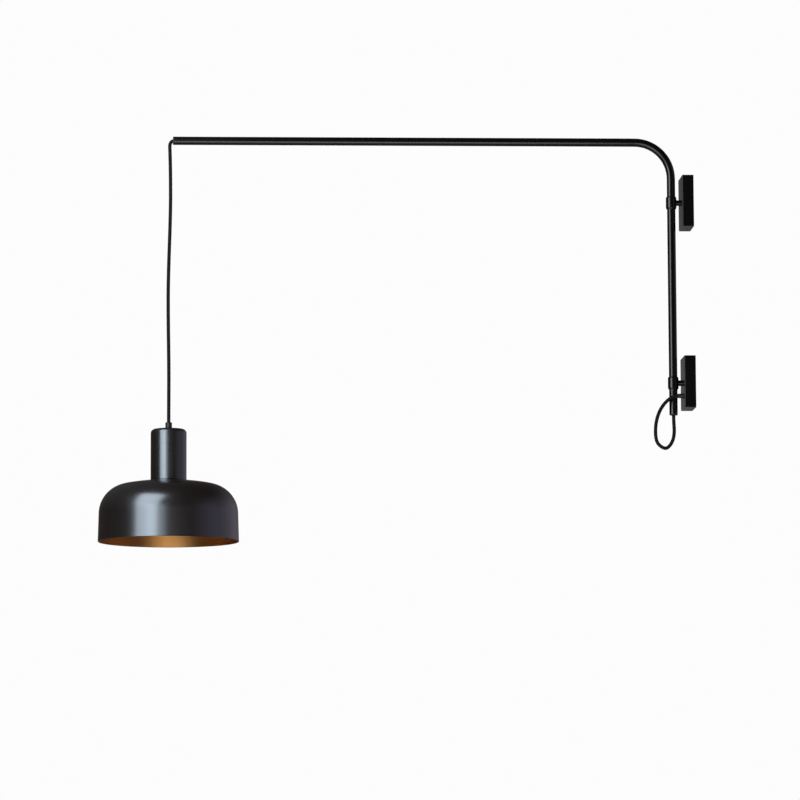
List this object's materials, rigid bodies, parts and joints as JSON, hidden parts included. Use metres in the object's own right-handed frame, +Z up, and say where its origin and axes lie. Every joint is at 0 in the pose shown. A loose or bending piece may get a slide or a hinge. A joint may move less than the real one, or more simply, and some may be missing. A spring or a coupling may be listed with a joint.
{
  "type": "hanging pendant wall sconce",
  "caption": "Black swing-arm wall light: a bent tube turns in collars on its wall boxes and carries a domed metal shade that hangs on a textile cord.",
  "frame": {"origin": "middle of the lower wall box's back, between its wall screws", "axes": "+X into the wall, +Z up; the arm points to -X at rest and -Y is the pictured side"},
  "size_m": [1.1412, 0.2684, 0.781],
  "materials": {
    "black_steel": "satin black powder coat",
    "shade_lacquer": "gloss black-brown lacquer outside, brass colour inside",
    "zinc_steel": "zinc plated",
    "black_screw": "black oxide",
    "nylon": "natural nylon",
    "black_nylon": "moulded black nylon",
    "brass": "plain brass",
    "ceramic": "glazed ceramic",
    "black_rubber": "soft rubber",
    "textile_lead": "black braided textile"
  },
  "bodies": {
    "wall_side": {"lower_wall_plate": "zinc_steel", "upper_wall_plate": "zinc_steel", "lower_box_cover": "black_steel", "upper_box_cover": "black_steel", "lower_cover_screws": "black_screw", "upper_cover_screws": "black_screw", "lower_collar": "black_steel", "upper_collar": "black_steel", "lower_collar_liner": "nylon", "upper_collar_liner": "nylon", "lower_collar_screw": "zinc_steel", "upper_collar_screw": "zinc_steel", "arm_stop_screw": "black_screw", "cable_gland": "black_nylon", "cable_gland_nut": "black_nylon", "terminal_block": "nylon", "terminal_screws": "brass", "terminal_fixing_screws": "zinc_steel", "earth_screw": "brass", "entry_grommet": "black_rubber", "supply_loop": "textile_lead"},
    "arm": {"arm_tube": "black_steel", "bottom_bush": "black_nylon", "tip_bush": "black_nylon", "tube_cord": "textile_lead", "cord_clamp_screw": "black_screw"},
    "cord_fold": {"cord_bend": "textile_lead"},
    "pendant": {"pendant_cord": "textile_lead", "cord_grip": "black_nylon", "cord_grip_screw": "black_screw", "socket_cover": "shade_lacquer", "nipple": "zinc_steel", "nipple_nut": "zinc_steel", "holder_cap": "black_nylon", "holder_shell": "black_nylon", "holder_insert": "ceramic", "holder_thread": "brass", "holder_contact": "brass", "shade_ring": "black_nylon", "shade": "shade_lacquer"}
  },
  "joints": [
    {"name": "arm_swing", "type": "hinge", "parent": "wall_side", "child": "arm", "pos_m": [-0.04, 0, 0], "axis": [0, 0, 1], "range_deg": [-83, 83]},
    {"name": "pendant_sideways", "type": "hinge", "parent": "arm", "child": "cord_fold", "pos_m": [-1, 0, 0.468], "axis": [1, 0, 0], "range_deg": [-35, 35]},
    {"name": "pendant_fore_aft", "type": "hinge", "parent": "cord_fold", "child": "pendant", "pos_m": [-1.007, 0, 0.4574], "axis": [0, 1, 0], "range_deg": [-35, 35]}
  ]
}
